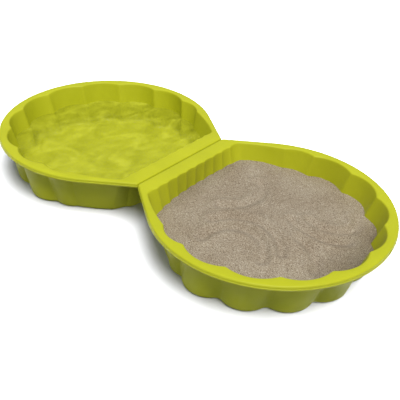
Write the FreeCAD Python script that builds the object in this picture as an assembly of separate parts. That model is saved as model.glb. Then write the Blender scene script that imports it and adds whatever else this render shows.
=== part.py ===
import FreeCAD, Part
import math
import os

# Two-part play tub: a scalloped base shell with sand and the same shell, turned round,
# as its cover with water. Millimetres, Z up. The origin is on the floor under the middle
# of the seam, +X runs from the seam to the base's far tip and Y runs along the seam.

# Overall size of one shell
shellWidth = 885.0
shellDepth = 865.0
shellHeight = 180.0
seamSideLength = 483.0
seamGap = 1.0
cornerRadius = 12.0

# Sheet and edges
wall = 3.0
skirtDrop = 18.0
beadHeight = 6.0
beadDepth = 1.5
rimRounding = 7.0
lipRounding = 5.0
floorRounding = 16.0
roundingSteps = 4
wallSteps = 3

# Lobes of the round part: the angle each one takes up about the round part's centre
lobePitch = 25.0
lobesPerSide = 4
flankLobePitchRim = 18.0
flankLobePitchFloor = 13.5

# The lobes' own centre is this much nearer the seam at the floor than at the rim
floorShift = 32.0

# Distance from the shell's edge to the outer face of the tub, at the rim and at the floor
ridgeFlangeRim = 47.5
crestFlangeRim = 28.5
flankRidgeFlangeRim = 39.5
flankFlangeRim = 22.0
seamFlangeRim = 66.0
ridgeFlangeFloor = 79.5
crestFlangeFloor = 45.0
flankRidgeFlangeFloor = 82.5
flankFlangeFloor = 72.5
seamFlangeFloor = 66.0

# The seam wall is straight at the rim; at the floor its ends stand back from its middle by this
seamBow = 68.0
seamFlutes = 10

# Bulges, and the rounding of the ridges between them
flankLobeBulgeRim = 20.0
flankLobeBulgeFloor = 13.0
flankBulgeRim = 7.0
flankBulgeFloor = 4.5
fluteBulgeRim = 5.0
fluteBulgeFloor = 8.5
endFluteBulgeRim = 5.0
endFluteBulgeFloor = 2.0
lobeRidgeRadiusRim = 12.0
lobeRidgeRadiusFloor = 23.5
fluteRidgeRadiusRim = 5.0
fluteRidgeRadiusFloor = 8.0
tubCornerRadiusRim = 26.0
tubCornerRadiusFloor = 31.0

# Fills
fillClearance = 0.3
waterLevel = 97.0
rippleHeight = 3.0
ripplePitch = 62.0
sandGridCells = 28

# Sand surface: level at the seam, fall to the far tip, a middle mound and a heap by the seam
sandEdgeLevel = 95.0
sandFall = 15.0
sandCrown = 34.0
heapHeight = 22.0
heapSpread = 130.0
heapX = 150.0
heapY = 240.0

roundRadius = shellWidth / 2
centreX = shellDepth - roundRadius
cornerY = seamSideLength / 2
cornerReach = math.hypot(centreX, cornerY)
tangentAngle = math.atan2(cornerY, -centreX) - math.acos(roundRadius / cornerReach)
flankOut = (math.cos(tangentAngle), math.sin(tangentAngle))


def along(start, end, share):
    return start + (end - start) * share


def polar(middleX, angle, radius):
    return (middleX + radius * math.cos(angle), radius * math.sin(angle))


def flankY(x, inset):
    """Y at which the +Y flank line, moved inwards by inset, passes x."""
    return (roundRadius - inset - flankOut[0] * (x - centreX)) / flankOut[1]


def towards(start, goal, reach):
    """Point at reach from start on the way to goal."""
    dx = goal[0] - start[0]
    dy = goal[1] - start[1]
    share = reach / math.hypot(dx, dy)
    return (start[0] + share * dx, start[1] + share * dy)


def arcEdge(centre, radius, first, last, z):
    """Arc under half a turn about centre, from first to last."""
    chordMiddle = (along(first[0], last[0], 0.5), along(first[1], last[1], 0.5))
    middle = towards(centre, chordMiddle, radius)
    ends = [FreeCAD.Vector(p[0], p[1], z) for p in (first, middle, last)]
    return Part.Arc(*ends).toShape()


def lineEdge(first, last, z):
    return Part.makeLine(FreeCAD.Vector(first[0], first[1], z), FreeCAD.Vector(last[0], last[1], z))


def rimWire(inset, z):
    """Outline of the rim: round part, two tangent flanks and the straight seam side."""
    radius = roundRadius - inset
    corner = cornerRadius - inset
    cornerX = seamGap / 2 + cornerRadius
    cornerCentre = flankY(cornerX, cornerRadius)
    points = []
    for side in (-1, 1):
        flankEnd = (centreX + radius * flankOut[0], side * radius * flankOut[1])
        cornerStart = (cornerX + corner * flankOut[0], side * (cornerCentre + corner * flankOut[1]))
        seamEnd = (seamGap / 2 + inset, side * cornerCentre)
        points.append((flankEnd, cornerStart, seamEnd))
    (flankA, cornerA, seamA), (flankB, cornerB, seamB) = points
    tip = (centreX + radius, 0.0)
    centre = (centreX, 0.0)
    edges = [
        arcEdge(centre, radius, flankA, tip, z),
        arcEdge(centre, radius, tip, flankB, z),
        lineEdge(flankB, cornerB, z),
        arcEdge((cornerX, cornerCentre), corner, cornerB, seamB, z),
        lineEdge(seamB, seamA, z),
        arcEdge((cornerX, -cornerCentre), corner, seamA, cornerA, z),
        lineEdge(cornerA, flankA, z),
    ]
    return Part.Wire(edges)


def circleThrough(first, last, bulge):
    """Centre and radius of the arc from first to last that stands bulge out to its right."""
    dx = last[0] - first[0]
    dy = last[1] - first[1]
    chord = math.hypot(dx, dy)
    radius = (chord * chord / 4 + bulge * bulge) / (2 * bulge)
    back = (radius - bulge) / chord
    centre = (along(first[0], last[0], 0.5) - back * dy, along(first[1], last[1], 0.5) + back * dx)
    return centre, radius


def roundingCentre(circleA, circleB, outwards, near):
    """Point at the distance outwards from both circles, on near's side."""
    a, reachA = circleA[0], circleA[1] + outwards
    b, reachB = circleB[0], circleB[1] + outwards
    dx = b[0] - a[0]
    dy = b[1] - a[1]
    span = math.hypot(dx, dy)
    foot = (span * span + reachA * reachA - reachB * reachB) / (2 * span)
    height = math.sqrt(reachA * reachA - foot * foot)
    found = []
    for side in (-1, 1):
        x = a[0] + (foot * dx - side * height * dy) / span
        y = a[1] + (foot * dy + side * height * dx) / span
        found.append((math.hypot(x - near[0], y - near[1]), (x, y)))
    return min(found)[1]


def tubCorners(depth):
    """Ridge points round the tub, each with the bulge of the arc after it, its rounding and side."""
    ridge = roundRadius - along(ridgeFlangeRim, ridgeFlangeFloor, depth)
    crest = roundRadius - along(crestFlangeRim, crestFlangeFloor, depth)
    flankRidge = roundRadius - along(flankRidgeFlangeRim, flankRidgeFlangeFloor, depth)
    flankAngle = lobesPerSide * lobePitch + along(flankLobePitchRim, flankLobePitchFloor, depth)
    flankLobe = along(flankLobeBulgeRim, flankLobeBulgeFloor, depth)
    flank = along(flankBulgeRim, flankBulgeFloor, depth)
    flute = along(fluteBulgeRim, fluteBulgeFloor, depth)
    endFlute = along(endFluteBulgeRim, endFluteBulgeFloor, depth)
    lobeRidge = along(lobeRidgeRadiusRim, lobeRidgeRadiusFloor, depth)
    fluteRidge = along(fluteRidgeRadiusRim, fluteRidgeRadiusFloor, depth)
    tubCorner = along(tubCornerRadiusRim, tubCornerRadiusFloor, depth)
    seamX = along(seamFlangeRim, seamFlangeFloor, depth)
    bow = seamBow * depth
    seamY = flankY(seamX + bow, along(flankFlangeRim, flankFlangeFloor, depth))
    lobeX = centreX - floorShift * depth
    angles = [lobePitch * i for i in range(-lobesPerSide, lobesPerSide + 1)]
    ridges = [polar(lobeX, math.radians(angle), ridge) for angle in angles]
    flankRidges = [polar(lobeX, math.radians(side * flankAngle), flankRidge) for side in (-1, 1)]
    lobeBulge = crest - ridge * math.cos(math.radians(lobePitch / 2))
    corners = [(flankRidges[0], flankLobe, lobeRidge, 1)]
    corners += [(point, lobeBulge, lobeRidge, 1) for point in ridges[:-1]]
    corners.append((ridges[-1], flankLobe, lobeRidge, 1))
    corners.append((flankRidges[1], flank, lobeRidge, 1))
    shares = [along(1, -1, i / seamFlutes) for i in range(seamFlutes + 1)]
    seamLine = [(seamX + bow * share ** 2, seamY * share) for share in shares]
    corners.append((seamLine[0], endFlute, tubCorner, -1))
    corners += [(point, flute, fluteRidge, 1) for point in seamLine[1:-2]]
    corners.append((seamLine[-2], endFlute, fluteRidge, 1))
    corners.append((seamLine[-1], flank, tubCorner, -1))
    return corners


def tubWire(z, inset):
    """Scalloped outline of the tub at height z, moved inwards by inset."""
    corners = tubCorners((shellHeight - z) / shellHeight)
    circles = []
    for here, after in zip(corners, corners[1:] + corners[:1]):
        circles.append(circleThrough(here[0], after[0], here[1]))
    joins = []
    for i, (point, _, rounding, side) in enumerate(corners):
        pair = (circles[i - 1], circles[i])
        centre = roundingCentre(*pair, side * rounding, point)
        start, end = [towards(middle, centre, radius - inset) for middle, radius in pair]
        joins.append((centre, rounding + side * inset, start, end))
    edges = []
    for join, circle, nextJoin in zip(joins, circles, joins[1:] + joins[:1]):
        centre, radius, start, end = join
        middle, lobeRadius = circle
        edges.append(arcEdge(centre, radius, start, end, z))
        edges.append(arcEdge(middle, lobeRadius - inset, end, nextJoin[2], z))
    return Part.Wire(edges)


def tubSolid(bottom, inset, rounding, top, lip):
    """Tub volume from bottom up to top, rounded round its floor and flared at its lip."""
    turns = [math.pi / 2 * step / roundingSteps for step in range(roundingSteps + 1)]
    levels = []
    for turn in turns:
        levels.append((bottom + rounding * (1 - math.cos(turn)), inset + rounding * (1 - math.sin(turn))))
    for step in range(1, wallSteps):
        levels.append((along(floorRounding, top - lipRounding, step / wallSteps), inset))
    levels.append((top - lipRounding, inset))
    if lip > 0:
        for turn in turns[1:]:
            levels.append((top - lip * (1 - math.sin(turn)), inset - lip * (1 - math.cos(turn))))
    else:
        levels.append((top, inset))
    return Part.makeLoft([tubWire(z, offset) for z, offset in levels], True, True)


def prism(wire, height):
    return Part.Face(wire).extrude(FreeCAD.Vector(0, 0, height))


def roundedPrism(inset, bottom, top, rounding):
    """Prism of the rim's outline with its top edge rounded."""
    block = prism(rimWire(inset, bottom), top - bottom)
    middle = along(bottom, top, 0.5)
    edges = [e for e in block.Edges if min(v.Z for v in e.Vertexes) > middle]
    return block.makeFillet(rounding, edges)


def makeShell():
    skirtBottom = shellHeight - skirtDrop
    bead = prism(rimWire(0.0, skirtBottom), beadHeight)
    rim = bead.fuse(roundedPrism(beadDepth, skirtBottom, shellHeight, rimRounding))
    under = roundedPrism(beadDepth + wall, skirtBottom, shellHeight - wall, rimRounding - wall)
    body = tubSolid(0.0, 0.0, floorRounding, shellHeight, 0.0)
    hollow = tubSolid(wall, wall, floorRounding - wall, shellHeight, lipRounding)
    return rim.cut(under).fuse(body).cut(hollow).removeSplitter()


def sandHeight(x, y):
    """Falling level, middle mound, heap, and furrows that bend round a point beside the seam."""
    radius = min(math.hypot(x - centreX, y) / roundRadius, 1.0)
    level = along(sandEdgeLevel, sandEdgeLevel - sandFall, x / shellDepth)
    mound = sandCrown * math.cos(math.pi / 2 * radius) ** 2
    heap = heapHeight * math.exp(-((x - heapX) ** 2 + (y - heapY) ** 2) / heapSpread ** 2)
    furrow = math.hypot(x - centreX / 2, y + roundRadius / 2)
    ripple = rippleHeight * (1 - radius ** 2) * math.cos(2 * math.pi * furrow / ripplePitch)
    return level + mound + heap + ripple


def fillVolume():
    """Inside of the tub up to the rim, clear of its wall."""
    return tubSolid(wall, wall + fillClearance, floorRounding - wall, shellHeight, 0.0)


def makeSand():
    """The tub's inside up to the furrowed surface."""
    shares = [i / sandGridCells for i in range(sandGridCells + 1)]
    row = [along(min(centreX - roundRadius, 0.0), shellDepth, share) for share in shares]
    column = [along(-roundRadius, roundRadius, share) for share in shares]
    grid = []
    for y in column:
        grid.append([FreeCAD.Vector(x, y, sandHeight(x, y)) for x in row])
    surface = Part.BSplineSurface()
    surface.interpolate(grid)
    block = surface.toShape().extrude(FreeCAD.Vector(0, 0, -shellHeight))
    return fillVolume().common(block)


def makeWater():
    """The tub's inside up to the water level."""
    return fillVolume().common(prism(rimWire(0.0, 0.0), waterLevel))


os.makedirs("parts", exist_ok=True)
shell = makeShell()
halfTurn = FreeCAD.Rotation(FreeCAD.Vector(0, 0, 1), math.degrees(math.pi))
toCover = FreeCAD.Placement(FreeCAD.Vector(0, 0, 0), halfTurn).toMatrix()
nodes = {
    "base_shell": shell,
    "cover_shell": shell.transformed(toCover),
    "sand_fill": makeSand(),
    "water_fill": makeWater().transformed(toCover),
}
for name, shape in nodes.items():
    shape.exportStep("parts/" + name + ".step")
    box = shape.optimalBoundingBox()
    print(name, shape.isValid(), len(shape.Solids), round(shape.Volume), box)
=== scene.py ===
import math
import bpy
import numpy as np
from mathutils import Matrix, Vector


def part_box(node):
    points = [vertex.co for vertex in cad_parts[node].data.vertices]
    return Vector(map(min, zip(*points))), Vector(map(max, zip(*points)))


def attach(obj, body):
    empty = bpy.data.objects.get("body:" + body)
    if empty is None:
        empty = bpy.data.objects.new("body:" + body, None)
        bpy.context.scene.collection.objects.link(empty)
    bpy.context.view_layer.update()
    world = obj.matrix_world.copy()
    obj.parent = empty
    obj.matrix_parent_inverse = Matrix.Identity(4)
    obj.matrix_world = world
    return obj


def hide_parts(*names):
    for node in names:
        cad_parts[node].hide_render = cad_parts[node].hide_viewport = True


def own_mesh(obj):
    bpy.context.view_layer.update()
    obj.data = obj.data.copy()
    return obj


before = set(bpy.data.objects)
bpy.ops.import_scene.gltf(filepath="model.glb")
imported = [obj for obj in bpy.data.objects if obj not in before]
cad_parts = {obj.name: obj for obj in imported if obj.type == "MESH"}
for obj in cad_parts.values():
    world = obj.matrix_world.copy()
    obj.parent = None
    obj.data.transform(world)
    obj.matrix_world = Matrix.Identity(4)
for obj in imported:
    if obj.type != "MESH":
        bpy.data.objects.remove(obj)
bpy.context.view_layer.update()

# Outer size of one shell, from the base's own box. Metres; the cover is the base turned half round.
shellLow, shellHigh = (np.array(corner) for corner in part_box("base_shell"))
rim = {
    "height": shellHigh[2],
    "radius": (shellHigh[1] - shellLow[1]) / 2,
    "reach": shellHigh[0],
    "seamSide": 0.483,  # length of the straight side
    "seamGap": shellLow[0],
    "corner": 0.012,
    "crown": 0.0008,  # the flange is this much lower at its edges
    "skirt": 0.018,
    "bead": 0.006,
    "beadDepth": 0.0015,
    "softEdge": 0.0005,
    "rounding": 0.007,
    "lip": 0.005,
    "samplesRound": 721,  # points of the guide round the arc, and round each corner
    "samplesCorner": 25,
}
rim["middleX"] = rim["reach"] - rim["radius"]

# Scalloped tub; pairs are (at the rim, at the floor), measured in from the shell's edge
tub = {
    "wall": 0.003,
    "lobePitch": 25.0,  # degrees
    "lobesPerSide": 4,
    "flankAngle": (118.0, 113.5),
    "shift": 0.032,  # the floor's middle is this much nearer the seam
    "ridge": (0.0475, 0.0795),
    "crest": (0.0285, 0.0450),
    "flankRidge": (0.0395, 0.0825),
    "flankLobe": (0.020, 0.013),  # bulge of the last lobe on each side
    "seam": (0.066, 0.066),
    "seamBow": (0.0, 0.068),  # the seam wall's ends stand back by this
    "seamEnd": (0.2618, 0.2485),
    "flankBulge": (0.007, 0.0045),
    "flutes": 10,
    "fluteBulge": (0.0042, 0.0075),
    "endFlute": (0.005, 0.002),  # bulge of the first and last flute
    "ridgeRounding": (0.012, 0.0235),
    "fluteRounding": (0.005, 0.008),
    "cornerRounding": (0.026, 0.031),
    "floorRounding": 0.016,
    "samplesRidge": 10,  # grid steps along each rounded ridge
    "samplesLobe": 18,  # and along each lobe
    "sharpEdge": 50.0,  # degrees; a steeper edge is shaded as a crease
}

# Rows of the shell's section. Flat stretches: share of the way at the first row and the last, and count
shellRows = {
    "floor": (0.06, 0.97, 22),
    "flange": (0.04, 0.98, 11),
    "under": (0.05, 0.97, 7),
    "sole": (0.97, 0.06, 16),
    "bend": 8,
    "lip": 7,
    "underBend": 5,
    "wallInside": 14,
    "wallOutside": 16,
}

tangent = math.atan2(rim["seamSide"] / 2, -rim["middleX"])
tangent -= math.acos(rim["radius"] / math.hypot(rim["middleX"], rim["seamSide"] / 2))


def between(pair, share):
    # straight mix of a pair
    return pair[0] + (pair[1] - pair[0]) * share


def flankAt(x, inset):
    # y of the flank line, moved in by inset, where it passes x
    return (rim["radius"] - inset - math.cos(tangent) * (x - rim["middleX"])) / math.sin(tangent)


def lengths(vectors):
    # root of x squared plus y squared
    return np.hypot(vectors[..., 0], vectors[..., 1])


def towards(start, goal, reach):
    # start + reach * unit way to goal, for whole arrays
    way = goal - start
    return start + way * (reach / lengths(way))[:, None]


def arcPoints(centre, first, last, count):
    # centre + radius * (cos, sin) of an angle that runs evenly from first to last, the short way round
    startAngle = np.arctan2(first[:, 1] - centre[:, 1], first[:, 0] - centre[:, 0])
    endAngle = np.arctan2(last[:, 1] - centre[:, 1], last[:, 0] - centre[:, 0])
    sweep = (endAngle - startAngle + np.pi) % (2 * np.pi) - np.pi
    angle = startAngle[:, None] + sweep[:, None] * np.arange(count) / count
    radius = lengths(first - centre)[:, None]
    return centre[:, None, :] + radius[..., None] * np.stack((np.cos(angle), np.sin(angle)), axis=2)


def ridgePoints(depth):
    # ridges stand on a circle whose middle moves to the seam with depth; flutes stand evenly
    # along the seam wall, a parabola that is straight at the rim
    now = {name: between(pair, depth) for name, pair in tub.items() if isinstance(pair, tuple)}
    steps = tub["lobePitch"] * np.arange(-tub["lobesPerSide"], tub["lobesPerSide"] + 1)
    angles = np.radians(np.concatenate(([-now["flankAngle"]], steps, [now["flankAngle"]])))
    radii = np.full(angles.size, rim["radius"] - now["ridge"])
    radii[[0, -1]] = rim["radius"] - now["flankRidge"]
    middle = np.array((rim["middleX"] - tub["shift"] * depth, 0.0))
    lobes = middle + radii[:, None] * np.stack((np.cos(angles), np.sin(angles)), axis=1)
    share = np.linspace(1, -1, tub["flutes"] + 1)
    fluteX = now["seam"] + now["seamBow"] * share ** 2
    flutes = np.stack((fluteX, now["seamEnd"] * share), axis=1)
    lobeBulge = rim["radius"] - now["crest"] - lengths((lobes[:-1] + lobes[1:]) / 2 - middle)
    lobeBulge[[0, -1]] = now["flankLobe"]
    fluteBulge = np.full(tub["flutes"], now["fluteBulge"])
    fluteBulge[[0, -1]] = now["endFlute"]
    bulge = np.concatenate((lobeBulge, [now["flankBulge"]], fluteBulge, [now["flankBulge"]]))
    rounding = np.full(bulge.size, now["ridgeRounding"])
    rounding[angles.size:] = now["fluteRounding"]
    side = np.ones(bulge.size)
    for corner in (angles.size, -1):
        rounding[corner] = now["cornerRounding"]
        side[corner] = -1
    return np.concatenate((lobes, flutes)), bulge, rounding, side


def outline(z, inset):
    # scalloped outline at height z, moved in by inset: an arc over each lobe through its two
    # ridges, and between arcs a rounding whose centre is as far from one circle as from the next
    points, bulge, rounding, side = ridgePoints(1 - z / rim["height"])
    chord = np.roll(points, -1, axis=0) - points
    span = lengths(chord)
    radius = (span ** 2 / 4 + bulge ** 2) / (2 * bulge)
    across = np.stack((-chord[:, 1], chord[:, 0]), axis=1)
    centre = points + chord / 2 + across * ((radius - bulge) / span)[:, None]
    before = np.roll(centre, 1, axis=0)
    beforeRadius = np.roll(radius, 1)
    reachA = beforeRadius + side * rounding
    reachB = radius + side * rounding
    link = centre - before
    linkLength = lengths(link)
    foot = (linkLength ** 2 + reachA ** 2 - reachB ** 2) / (2 * linkLength)
    rise = np.sqrt(reachA ** 2 - foot ** 2)
    unit = link / linkLength[:, None]
    square = np.stack((-unit[:, 1], unit[:, 0]), axis=1)
    base = before + unit * foot[:, None]
    options = np.stack((base - square * rise[:, None], base + square * rise[:, None]))
    nearest = np.argmin(lengths(options - points), axis=0)
    joint = options[nearest, np.arange(nearest.size)]
    start = towards(before, joint, beforeRadius - inset)
    end = towards(centre, joint, radius - inset)
    ridges = arcPoints(joint, start, end, tub["samplesRidge"])
    lobes = arcPoints(centre, end, np.roll(start, -1, axis=0), tub["samplesLobe"])
    return np.concatenate((ridges, lobes), axis=1).reshape(-1, 2)


def rimGuide():
    # points and outward normals round the rim, matched to the tub's samples: both outlines are
    # run through by length, and each tub ridge is tied to its own place on the rim
    cornerX = rim["seamGap"] + rim["corner"]
    cornerY = flankAt(cornerX, rim["corner"])
    roundCount, cornerCount = rim["samplesRound"], rim["samplesCorner"]
    angle = np.concatenate((
        np.linspace(-tangent, tangent, roundCount),
        np.linspace(tangent, np.pi, cornerCount),
        np.linspace(np.pi, 2 * np.pi - tangent, cornerCount),
        [2 * np.pi - tangent],
    ))
    counts = (roundCount, cornerCount, cornerCount, 1)
    middles = ((rim["middleX"], 0), (cornerX, cornerY), (cornerX, -cornerY), (rim["middleX"], 0))
    centre = np.repeat(middles, counts, axis=0)
    radius = np.repeat((rim["radius"], rim["corner"], rim["corner"], rim["radius"]), counts)
    normal = np.stack((np.cos(angle), np.sin(angle)), axis=1)
    points = centre + radius[:, None] * normal
    travel = np.concatenate(([0.0], np.cumsum(lengths(np.diff(points, axis=0)))))
    ridges, bulge, _, _ = ridgePoints(0.0)
    lobeCount = 2 * tub["lobesPerSide"] + 3
    ridgeAngle = np.arctan2(ridges[:lobeCount, 1], ridges[:lobeCount, 0] - rim["middleX"])
    firstCorner = roundCount + cornerCount // 2
    fluteTravel = np.linspace(travel[firstCorner], travel[firstCorner + cornerCount], tub["flutes"] + 1)
    anchors = np.concatenate(((ridgeAngle + tangent) * rim["radius"], fluteTravel))
    edge = outline(rim["height"], tub["wall"])
    steps = lengths(np.diff(edge, axis=0, append=edge[:1]))
    run = np.concatenate(([0.0], np.cumsum(steps)))
    perRidge = tub["samplesRidge"] + tub["samplesLobe"]
    marks = run[np.arange(bulge.size) * perRidge + tub["samplesRidge"] // 2]
    marks = np.concatenate(([marks[-1] - run[-1]], marks, [marks[0] + run[-1]]))
    anchors = np.concatenate(([anchors[-1] - travel[-1]], anchors, [anchors[0] + travel[-1]]))
    place = np.interp(run[:-1], marks, anchors) % travel[-1]
    return tuple(
        np.stack([np.interp(place, travel, values[:, i]) for i in (0, 1)], axis=1)
        for values in (points, normal)
    )


rimPoints, rimNormals = rimGuide()


def ring(xy, z):
    # an outline as points (x, y, z)
    return np.column_stack((xy, np.broadcast_to(z, len(xy))))


def rimRing(inset, z):
    # the rim's outline moved in along its normals
    return ring(rimPoints - rimNormals * inset, z)


def quarter(count):
    # (1 - sin, 1 - cos) of a quarter turn in even steps
    turn = np.linspace(0, np.pi / 2, count)
    return list(zip(1 - np.sin(turn), 1 - np.cos(turn)))


def closedSurface(name, rings, lowPole, highPole, turned, material):
    # rings joined by quads from the first pole to the last; the grid's two parameters are the
    # place along the outline and the place along the section
    count = len(rings[0])
    points = np.concatenate(rings + [np.array([lowPole, highPole])])
    if turned:
        points[:, :2] *= -1
    here = np.arange(count)
    after = np.roll(here, -1)
    rows = count * np.arange(len(rings) - 1)[:, None]
    corners = (rows + here, rows + count + here, rows + count + after, rows + after)
    quads = np.stack(corners, axis=2).reshape(-1, 4)
    firstPole = len(rings) * count
    lastRow = firstPole - count
    firstFan = np.stack((np.full(count, firstPole), here, after), axis=1)
    lastFan = np.stack((np.full(count, firstPole + 1), lastRow + after, lastRow + here), axis=1)
    mesh = bpy.data.meshes.new(name)
    mesh.from_pydata(points.tolist(), [], quads.tolist() + firstFan.tolist() + lastFan.tolist())
    mesh.shade_smooth()
    mesh.set_sharp_from_angle(angle=math.radians(tub["sharpEdge"]))
    mesh.materials.append(material)
    piece = bpy.data.objects.new(name, mesh)
    bpy.context.collection.objects.link(piece)
    print(name, "has", len(mesh.polygons), "faces")
    return piece


def flatRows(start, goal, shares, z):
    # start + (goal - start) * share, for a number of shares in even steps
    return [ring(start + (goal - start) * share, z) for share in np.linspace(*shares)]


def shellRings():
    # one section carried round the outline: inside floor, wall, lip, flange, skirt with its
    # bead, underside, outside wall, outside floor
    wall, lip, edge = tub["wall"], rim["lip"], rim["softEdge"]
    top = rim["height"] - rim["crown"]
    inner, outer = tub["floorRounding"] - wall, tub["floorRounding"]
    middle = np.array((rim["middleX"] - tub["shift"], 0.0))
    bend = quarter(shellRows["bend"])
    rings = flatRows(middle, outline(wall, wall + inner), shellRows["floor"], wall)
    rings += [ring(outline(wall + inner * c, wall + inner * s), wall + inner * c) for s, c in bend]
    wallLevels = np.linspace(wall + inner, top - lip, shellRows["wallInside"])[1:-1]
    rings += [ring(outline(z, wall), z) for z in wallLevels]
    for s, c in quarter(shellRows["lip"]):
        rings.append(ring(outline(top - lip * s, wall - lip * c), top - lip * s))
    lipEdge = outline(top, wall - lip)
    side, turn = rim["beadDepth"], rim["rounding"]
    flangeEdge = rimPoints - rimNormals * (side + turn)
    for share in np.linspace(*shellRows["flange"]):
        level = top + rim["crown"] * (1 - (2 * share - 1) ** 2)
        rings.append(ring(lipEdge + (flangeEdge - lipEdge) * share, level))
    rings += [rimRing(side + turn * s, top - turn * c) for s, c in bend]
    skirtEnd = rim["height"] - rim["skirt"]
    beadTop = skirtEnd + rim["bead"]
    section = [(side, beadTop + 3 * edge), (side, beadTop + edge), (2 * edge, beadTop), (0, beadTop - edge)]
    section += [(0, skirtEnd + edge), (edge, skirtEnd)]
    section += [(side + wall - edge, skirtEnd), (side + wall, skirtEnd + edge)]
    under = turn - wall
    for s, c in reversed(quarter(shellRows["underBend"])):
        section.append((side + wall + under * s, top - wall - under * c))
    rings += [rimRing(inset, z) for inset, z in section]
    rings += flatRows(flangeEdge, outline(top - wall, 0.0), shellRows["under"], top - wall)
    wallLevels = np.linspace(top - wall, outer, shellRows["wallOutside"])[:-1]
    rings += [ring(outline(z, 0.0), z) for z in wallLevels]
    rings += [ring(outline(outer * c, outer * s), outer * c) for s, c in reversed(bend)]
    rings += flatRows(middle, outline(0.0, outer), shellRows["sole"], 0.0)
    return rings, (*middle, wall), (*middle, 0.0)


# Sand surface. Strokes are drawn with a finger: an arc round a middle, from one angle to another.
sand = {
    "clearance": 0.0003,
    "rows": 150,
    "edgeLevel": 0.093,
    "fall": 0.012,  # lower by this at the far tip
    "crown": 0.030,
    "heap": 0.022,
    "heapSpread": 0.130,
    "heapAt": (0.150, 0.240),
    "strokeDepth": 0.0075,
    "strokeWidth": 0.019,
    "bank": 0.75,  # height of a stroke's banks against its depth
    "bankAt": 1.7,  # how far out they stand, and how wide they are, in stroke widths
    "bankWidth": 0.8,
    "strokeEdge": 0.86,  # no strokes past this share of the radius
    "strokeFade": 0.2,  # and full depth from this much further in
    "lumps": 0.0020,
    "lumpWaves": (24, (0.03, 0.11), 5),  # number, shortest and longest, seed
    "grain": 0.00035,
    "grainSeed": 11,
    "grainFade": 4,  # the inner quarter of the rows has less grain, as the grid is too fine there
    "strokes": (  # middle x, middle y, radius, first and last angle in degrees
        (0.425, -0.225, 0.115, 15, 185),
        (0.425, -0.225, 0.170, 35, 150),
        (0.560, 0.190, 0.105, 255, 40),
        (0.560, 0.190, 0.160, 245, 325),
        (0.560, -0.160, 0.140, 20, 85),
        (0.200, 0.060, 0.120, 290, 60),
    ),
}

water = {
    "clearance": 0.0003,
    "rows": 90,
    "level": 0.0962,
    "wave": 0.0007,
    "waves": (30, (0.05, 0.22), 9),  # number, shortest and longest, seed
    "meniscus": 0.0008,
    "climb": 0.004,  # the meniscus falls off over this distance from the wall
    "keep": 0.02,  # share of its height left when the cover is turned over
}

# Grid of both fills: heights between which the wall is known, and rows down the side
fillGrid = {
    "lowest": 0.020,
    "highest": 0.140,
    "levels": 49,
    "guess": 0.095,  # height from which the search for the surface's edge starts
    "passes": 6,
    "firstShare": 0.02,
    "sideRows": 8,
    "bendRows": 5,
}


def waves(x, y, count, pitches, seed):
    # mean of sines of (way along a seeded heading / pitch), doubled
    draw = np.random.default_rng(seed)
    heading = draw.uniform(0, 2 * np.pi, count)
    pitch = draw.uniform(*pitches, count)
    phase = draw.uniform(0, 2 * np.pi, count)
    along = x[..., None] * np.cos(heading) + y[..., None] * np.sin(heading)
    return np.sin(2 * np.pi * along / pitch + phase).mean(axis=-1) * 2


def strokeHeight(x, y):
    # a furrow along an arc with a low bank on each side; past the arc's ends the distance to its
    # last point counts
    height = np.zeros_like(x)
    for middleX, middleY, radius, first, last in sand["strokes"]:
        first, last = math.radians(first), math.radians(last)
        span = (last - first) % (2 * np.pi)
        turn = (np.arctan2(y - middleY, x - middleX) - first) % (2 * np.pi)
        past = (turn - span) > (2 * np.pi - span) / 2
        angle = first + np.where(turn > span, np.where(past, 0.0, span), turn)
        distance = np.hypot(x - middleX - radius * np.cos(angle), y - middleY - radius * np.sin(angle))
        reach = distance / sand["strokeWidth"]
        bank = sand["bank"] * np.exp(-((reach - sand["bankAt"]) / sand["bankWidth"]) ** 2)
        height -= sand["strokeDepth"] * (np.exp(-reach ** 2) - bank)
    return height


def sandHeight(x, y):
    # falling level + cos squared mound + bell-shaped heap + strokes + lumps
    radius = np.minimum(np.hypot(x - rim["middleX"], y) / rim["radius"], 1.0)
    level = sand["edgeLevel"] - sand["fall"] * x / rim["reach"]
    mound = sand["crown"] * np.cos(np.pi / 2 * radius) ** 2
    gap = np.hypot(x - sand["heapAt"][0], y - sand["heapAt"][1])
    heap = sand["heap"] * np.exp(-(gap / sand["heapSpread"]) ** 2)
    inside = np.clip((sand["strokeEdge"] - radius) / sand["strokeFade"], 0.0, 1.0)
    rough = sand["lumps"] * waves(x, y, *sand["lumpWaves"])
    return level + mound + heap + inside * strokeHeight(x, y) + rough


def waterHeight(x, y):
    # level + small waves
    return water["level"] + water["wave"] * waves(x, y, *water["waves"])


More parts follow.
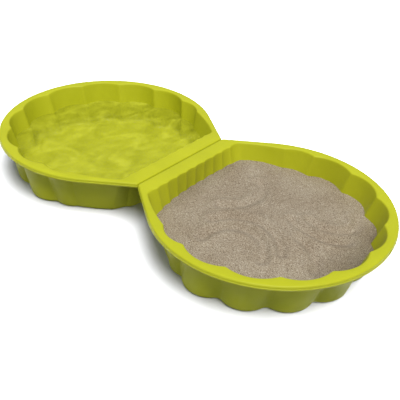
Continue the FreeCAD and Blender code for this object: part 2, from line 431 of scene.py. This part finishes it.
def fillRings(heightAt, clearance, rows, rise):
    # the top surface runs from its middle to where its height meets the wall; its wall side and
    # floor follow the tub, clear of it. rise lifts the last rows up the wall
    inset = tub["wall"] + clearance
    levels = np.linspace(fillGrid["lowest"], fillGrid["highest"], fillGrid["levels"])
    stack = np.stack([outline(z, inset) for z in levels])
    here = np.arange(stack.shape[1])

    def wallAt(z):
        # the wall's outline where its height is z, which may differ from point to point
        spot = np.clip((z - levels[0]) / (levels[1] - levels[0]), 0, len(levels) - 1.001)
        low = spot.astype(int)
        return stack[low, here] + (stack[low + 1, here] - stack[low, here]) * (spot - low)[:, None]

    z = np.full(here.size, fillGrid["guess"])
    for _ in range(fillGrid["passes"]):
        edge = wallAt(z)
        z = heightAt(edge[:, 0], edge[:, 1])
    middle = np.array((rim["middleX"] - tub["shift"] / 2, 0.0))
    shares = np.linspace(fillGrid["firstShare"], 1.0, rows)[:, None, None]
    top = middle + (edge - middle) * shares
    height = heightAt(top[..., 0], top[..., 1])
    away = lengths(edge - middle) * (1 - shares[..., 0])
    height += rise * np.exp(-away / water["climb"])
    rings = list(np.dstack((top, height)))
    z = height[-1]
    floor = tub["wall"] + clearance
    inner = tub["floorRounding"] - tub["wall"]
    for share in np.linspace(0.0, 1.0, fillGrid["sideRows"])[1:]:
        level = z + (np.full_like(z, levels[0]) - z) * share
        rings.append(np.column_stack((wallAt(level), level)))
    for s, c in reversed(quarter(fillGrid["bendRows"])):
        rings.append(ring(outline(floor + inner * c, inset + inner * s), floor + inner * c))
    return rings, (*middle, heightAt(*middle[:, None])[0]), (*middle, floor)


def nodesOf(name):
    # a new material with its nodes, links and shader
    material = bpy.data.materials.new(name)
    material.use_nodes = True
    nodes = material.node_tree.nodes
    return material, nodes, material.node_tree.links, nodes["Principled BSDF"]


def noiseOn(nodes, links, scale, detail, shift=(0, 0, 0), distortion=0.0, stretch=(1, 1, 1)):
    # noise on the piece's own coordinates; scale is features per metre
    place = nodes.new("ShaderNodeTexCoord")
    mapping = nodes.new("ShaderNodeMapping")
    mapping.inputs["Location"].default_value = shift
    mapping.inputs["Scale"].default_value = stretch
    noise = nodes.new("ShaderNodeTexNoise")
    noise.inputs["Scale"].default_value = scale
    noise.inputs["Detail"].default_value = detail
    noise.inputs["Distortion"].default_value = distortion
    links.new(place.outputs["Object"], mapping.inputs["Vector"])
    links.new(mapping.outputs["Vector"], noise.inputs["Vector"])
    return noise.outputs["Fac"]


def rampOf(nodes, links, source, stops):
    # colour by stops of (place, colour): the lowest, the highest, then those between
    ramp = nodes.new("ShaderNodeValToRGB")
    for i, (spot, colour) in enumerate(stops):
        stop = ramp.color_ramp.elements[i] if i < 2 else ramp.color_ramp.elements.new(spot)
        stop.position = spot
        stop.color = (*colour, 1.0)
    links.new(source, ramp.inputs["Fac"])
    return ramp.outputs["Color"]


def spread(nodes, links, noise, low, high):
    # a noise's middle part, 0.3 to 0.7, stretched to run from low to high
    scale = nodes.new("ShaderNodeMapRange")
    scale.inputs["From Min"].default_value = 0.3
    scale.inputs["From Max"].default_value = 0.7
    scale.inputs["To Min"].default_value = low
    scale.inputs["To Max"].default_value = high
    links.new(noise, scale.inputs["Value"])
    return scale.outputs["Result"]


def multiply(nodes, links, first, second):
    # product of two colours
    mix = nodes.new("ShaderNodeMix")
    mix.data_type = "RGBA"
    mix.blend_type = "MULTIPLY"
    mix.inputs["Factor"].default_value = 1.0
    links.new(first, mix.inputs["A"])
    links.new(second, mix.inputs["B"])
    return mix.outputs["Result"]


def bumpOf(nodes, links, shader, layers):
    # bumps of (height, strength, distance) laid over each other
    normal = None
    for source, strength, distance in layers:
        bump = nodes.new("ShaderNodeBump")
        bump.inputs["Strength"].default_value = strength
        bump.inputs["Distance"].default_value = distance
        links.new(source, bump.inputs["Height"])
        if normal:
            links.new(normal, bump.inputs["Normal"])
        normal = bump.outputs["Normal"]
    links.new(normal, shader.inputs["Normal"])


# Finishes. Noise is (features per metre, detail), bump is (strength, distance)
plastic = {
    "deep": (0.450, 0.468, 0.014),
    "light": (0.490, 0.505, 0.017),
    "roughness": (0.42, 0.54),
    "cloud": (7.0, 4.0),
    "ripple": (28.0, 2.0),
    "grain": (1100.0, 2.0),
    "rippleBump": (0.25, 0.0012),
    "grainBump": (0.18, 0.0003),
    "gloss": 0.2,
    "glow": 0.08,  # light that passes a little way through the plastic
    "glowRadius": (0.8, 0.8, 0.15),
    "glowScale": 0.008,
}

dryGrains = {
    "grain": (300.0, 3.0),
    "fine": (900.0, 2.0),
    "patch": (9.0, 3.0),
    "grainColours": (
        (0.30, (0.115, 0.085, 0.055)),
        (0.72, (0.56, 0.50, 0.40)),
        (0.42, (0.27, 0.215, 0.15)),
        (0.55, (0.375, 0.315, 0.235)),
    ),
    "patchTints": ((0.35, (0.86, 0.83, 0.80)), (0.65, (1.0, 1.0, 1.0))),
    "shadeTints": (  # painted shade along x in metres: darker beside the seam wall and at the far tip, where the walls shade the sand
        (0.07, (0.80, 0.80, 0.78)),
        (0.80, (0.50, 0.50, 0.46)),
        (0.13, (1.0, 1.0, 1.0)),
        (0.66, (1.0, 1.0, 1.0)),
    ),
    "roughness": 0.92,
    "gloss": 0.25,
    "grainBump": (0.7, 0.003),
    "fineBump": (0.5, 0.001),
}

poolLook = {
    "swirl": (12.0, 5.0),
    "swirlTwist": 1.4,
    "swirlStretch": (1.0, 0.7, 1.0),
    "flicker": (24.0, 2.0),
    "flickerTwist": 0.6,
    "flickerStretch": (1.0, 0.6, 1.0),
    # swirl colours: paler and darker lime mottles, painted caustic light and shade on the water
    "colours": ((0.32, (0.46, 0.48, 0.03)), (0.72, (0.78, 0.80, 0.07)), (0.52, (0.60, 0.62, 0.04))),
    "opacity": (0.16, 0.40),
    "roughness": 0.06,
    "refraction": 1.33,
    "gloss": 0.25,
    "swirlBump": (0.35, 0.006),
    "flickerBump": (0.2, 0.002),
}


def limePlastic(name, shift):
    # satin plastic: clouds for colour and roughness, ripples and grain for the surface
    material, nodes, links, shader = nodesOf(name)
    cloud = noiseOn(nodes, links, *plastic["cloud"], shift)
    grain = noiseOn(nodes, links, *plastic["grain"], shift)
    ripple = noiseOn(nodes, links, *plastic["ripple"], shift)
    colour = rampOf(nodes, links, cloud, ((0.35, plastic["deep"]), (0.65, plastic["light"])))
    links.new(colour, shader.inputs["Base Color"])
    links.new(spread(nodes, links, cloud, *plastic["roughness"]), shader.inputs["Roughness"])
    bumpOf(nodes, links, shader, ((ripple, *plastic["rippleBump"]), (grain, *plastic["grainBump"])))
    shader.inputs["Specular IOR Level"].default_value = plastic["gloss"]
    shader.inputs["Subsurface Weight"].default_value = plastic["glow"]
    shader.inputs["Subsurface Radius"].default_value = plastic["glowRadius"]
    shader.inputs["Subsurface Scale"].default_value = plastic["glowScale"]
    return material


def drySand():
    # grains from two noises; patches, and a painted shade that follows x, make it darker
    material, nodes, links, shader = nodesOf("drySand")
    grain = noiseOn(nodes, links, *dryGrains["grain"])
    fine = noiseOn(nodes, links, *dryGrains["fine"], (3, 1, 2))
    patch = noiseOn(nodes, links, *dryGrains["patch"], (1, 5, 0))
    grainColour = rampOf(nodes, links, grain, dryGrains["grainColours"])
    patchTint = rampOf(nodes, links, patch, dryGrains["patchTints"])
    place = nodes.new("ShaderNodeTexCoord")
    split = nodes.new("ShaderNodeSeparateXYZ")
    links.new(place.outputs["Object"], split.inputs["Vector"])
    # painted shade: darker beside the seam wall and at the far tip
    paintedShade = rampOf(nodes, links, split.outputs["X"], dryGrains["shadeTints"])
    patched = multiply(nodes, links, grainColour, patchTint)
    links.new(multiply(nodes, links, patched, paintedShade), shader.inputs["Base Color"])
    shader.inputs["Roughness"].default_value = dryGrains["roughness"]
    shader.inputs["Specular IOR Level"].default_value = dryGrains["gloss"]
    bumpOf(nodes, links, shader, ((grain, *dryGrains["grainBump"]), (fine, *dryGrains["fineBump"])))
    return material


def clearWater():
    # thin colour over the tub's own, with swirls and a finer flicker in the surface; the swirls' paler and
    # darker colours are painted caustic light and shade
    material, nodes, links, shader = nodesOf("clearWater")
    swirl = noiseOn(nodes, links, *poolLook["swirl"], (2, 2, 0), poolLook["swirlTwist"],
                    poolLook["swirlStretch"])
    flicker = noiseOn(nodes, links, *poolLook["flicker"], (7, 0, 0), poolLook["flickerTwist"],
                      poolLook["flickerStretch"])
    # painted caustic light and shade: paler and darker lime by the swirls
    links.new(rampOf(nodes, links, swirl, poolLook["colours"]), shader.inputs["Base Color"])
    links.new(spread(nodes, links, swirl, *poolLook["opacity"]), shader.inputs["Alpha"])
    shader.inputs["Roughness"].default_value = poolLook["roughness"]
    shader.inputs["IOR"].default_value = poolLook["refraction"]
    shader.inputs["Specular IOR Level"].default_value = poolLook["gloss"]
    bumpOf(nodes, links, shader, ((swirl, *poolLook["swirlBump"]), (flicker, *poolLook["flickerBump"])))
    return material


print("shaping the shells")
sections, insideMiddle, soleMiddle = shellRings()
baseLime, coverLime = limePlastic("baseLime", (0, 0, 0)), limePlastic("coverLime", (4, 2, 1))
baseTub = closedSurface("baseTub", sections, insideMiddle, soleMiddle, False, baseLime)
coverTub = closedSurface("coverTub", sections, insideMiddle, soleMiddle, True, coverLime)

print("raking the sand")
rings, topMiddle, lowMiddle = fillRings(sandHeight, sand["clearance"], sand["rows"], 0.0)
draw = np.random.default_rng(sand["grainSeed"])
for i, row in enumerate(rings[:sand["rows"] - 1]):
    fade = min(1.0, sand["grainFade"] * i / sand["rows"])
    row[:, 2] += sand["grain"] * fade * draw.standard_normal(len(row))
playSand = closedSurface("playSand", rings, topMiddle, lowMiddle, False, drySand())

print("pouring the water")
rings, topMiddle, lowMiddle = fillRings(waterHeight, water["clearance"], water["rows"], water["meniscus"])
poolWater = closedSurface("poolWater", rings, topMiddle, lowMiddle, True, clearWater())

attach(baseTub, "base")
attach(coverTub, "cover")
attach(playSand, "base")
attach(poolWater, "cover")
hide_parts("base_shell")
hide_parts("cover_shell")
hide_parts("sand_fill")
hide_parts("water_fill")
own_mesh(poolWater)

# Studio: floor, light and camera
studio = {
    "floorSize": 14.0,
    "floorSquares": 8,
    "floorLow": -0.0002,  # just under the tubs' undersides
    "floorCloud": (3.0, 2.0),
    "floorColours": ((0.3, (0.60, 0.60, 0.61)), (0.7, (0.62, 0.62, 0.63))),
    "floorRoughness": 0.9,
    "floorLamp": {"power": 13.0, "spread": 60.0, "from": (0.36, 0.06, 1.0), "colour": (1.0, 1.0, 1.0)},
    "key": {"power": 2.9, "spread": 26.0, "from": (0.32, -0.30, 1.0), "colour": (1.0, 0.985, 0.95)},
    "sky": (0.93, 0.98, 1.05),
    "below": 0.23,  # light from under the horizon, at it, and from overhead
    "horizon": 0.28,
    "overhead": 0.55,
    "horizonBand": (0.49, 0.51),
}
view = {
    "target": (0.231, -0.162, 0.180),
    "distance": 2.323,
    "azimuth": 39.5,
    "elevation": 34.15,
    "roll": 2.65,
    "lens": 59.5,
    "sensor": 36.0,
}


def paleFloor():
    # a flat grid with its z just under 0
    side = np.linspace(-0.5, 0.5, studio["floorSquares"] + 1) * studio["floorSize"]
    x, y = np.meshgrid(side, side, indexing="ij")
    points = np.stack((x, y, np.full_like(x, studio["floorLow"])), axis=2).reshape(-1, 3)
    index = np.arange(side.size ** 2).reshape(side.size, side.size)
    quads = np.stack((index[:-1, :-1], index[1:, :-1], index[1:, 1:], index[:-1, 1:]), axis=2).reshape(-1, 4)
    mesh = bpy.data.meshes.new("floor")
    mesh.from_pydata(points.tolist(), [], quads.tolist())
    material, nodes, links, shader = nodesOf("paleFloor")
    cloud = noiseOn(nodes, links, *studio["floorCloud"])
    links.new(rampOf(nodes, links, cloud, studio["floorColours"]), shader.inputs["Base Color"])
    shader.inputs["Roughness"].default_value = studio["floorRoughness"]
    mesh.materials.append(material)
    ground = bpy.data.objects.new("floor", mesh)
    bpy.context.collection.objects.link(ground)
    ground.visible_diffuse = False  # keeps its white off the undersides; the low sky lights them
    return ground


def softSky():
    # light that grows from below to the horizon and from there to overhead
    world = bpy.data.worlds.new("studio")
    world.use_nodes = True
    nodes, links = world.node_tree.nodes, world.node_tree.links
    heading = nodes.new("ShaderNodeTexCoord")
    split = nodes.new("ShaderNodeSeparateXYZ")
    links.new(heading.outputs["Generated"], split.inputs["Vector"])
    rise = nodes.new("ShaderNodeMapRange")
    rise.inputs["From Min"].default_value = -1.0
    links.new(split.outputs["Z"], rise.inputs["Value"])
    levels = ("below", "overhead", "below", "horizon")
    tints = [tuple(studio[level] * part for part in studio["sky"]) for level in levels]
    stops = tuple(zip((0.0, 1.0, *studio["horizonBand"]), tints))
    links.new(rampOf(nodes, links, rise.outputs["Result"], stops), nodes["Background"].inputs["Color"])
    bpy.context.scene.world = world


def facing(direction, roll=0.0):
    # turn whose z axis points along direction, with x level, then rolled about it
    z = np.array(direction) / np.linalg.norm(direction)
    x = np.cross((0, 0, 1), z)
    x /= np.linalg.norm(x)
    y = np.cross(z, x)
    c, s = math.cos(math.radians(roll)), math.sin(math.radians(roll))
    turned = np.eye(4)
    turned[:3, :3] = np.stack((x * c + y * s, y * c - x * s, z), axis=1)
    return turned


def softSun(name, lit):
    # a wide sun that lights only the listed objects, though everything may shade them
    look = studio[name]
    data = bpy.data.lights.new(name, "SUN")
    data.energy = look["power"]
    data.angle = math.radians(look["spread"])
    data.color = look["colour"]
    lamp = bpy.data.objects.new(name, data)
    bpy.context.collection.objects.link(lamp)
    lamp.matrix_world = Matrix(facing(look["from"]).tolist())
    receivers = bpy.data.collections.new(name + "Lit")
    for thing in lit:
        receivers.objects.link(thing)
    lamp.light_linking.receiver_collection = receivers


def addCamera():
    # target + distance * unit way back, which azimuth and elevation give
    azimuth, elevation = math.radians(view["azimuth"]), math.radians(view["elevation"])
    level = math.cos(elevation)
    back = np.array((math.sin(azimuth) * level, -math.cos(azimuth) * level, math.sin(elevation)))
    data = bpy.data.cameras.new("camera")
    data.sensor_width = view["sensor"]
    data.lens = view["lens"]
    camera = bpy.data.objects.new("camera", data)
    bpy.context.collection.objects.link(camera)
    pose = facing(back, view["roll"])
    pose[:3, 3] = np.array(view["target"]) + back * view["distance"]
    camera.matrix_world = Matrix(pose.tolist())
    bpy.context.scene.camera = camera


print("setting up the studio")
floor = paleFloor()
softSky()
softSun("floorLamp", [floor])
softSun("key", [baseTub, coverTub, playSand, poolWater])
addCamera()
bpy.context.scene.view_settings.view_transform = "Standard"
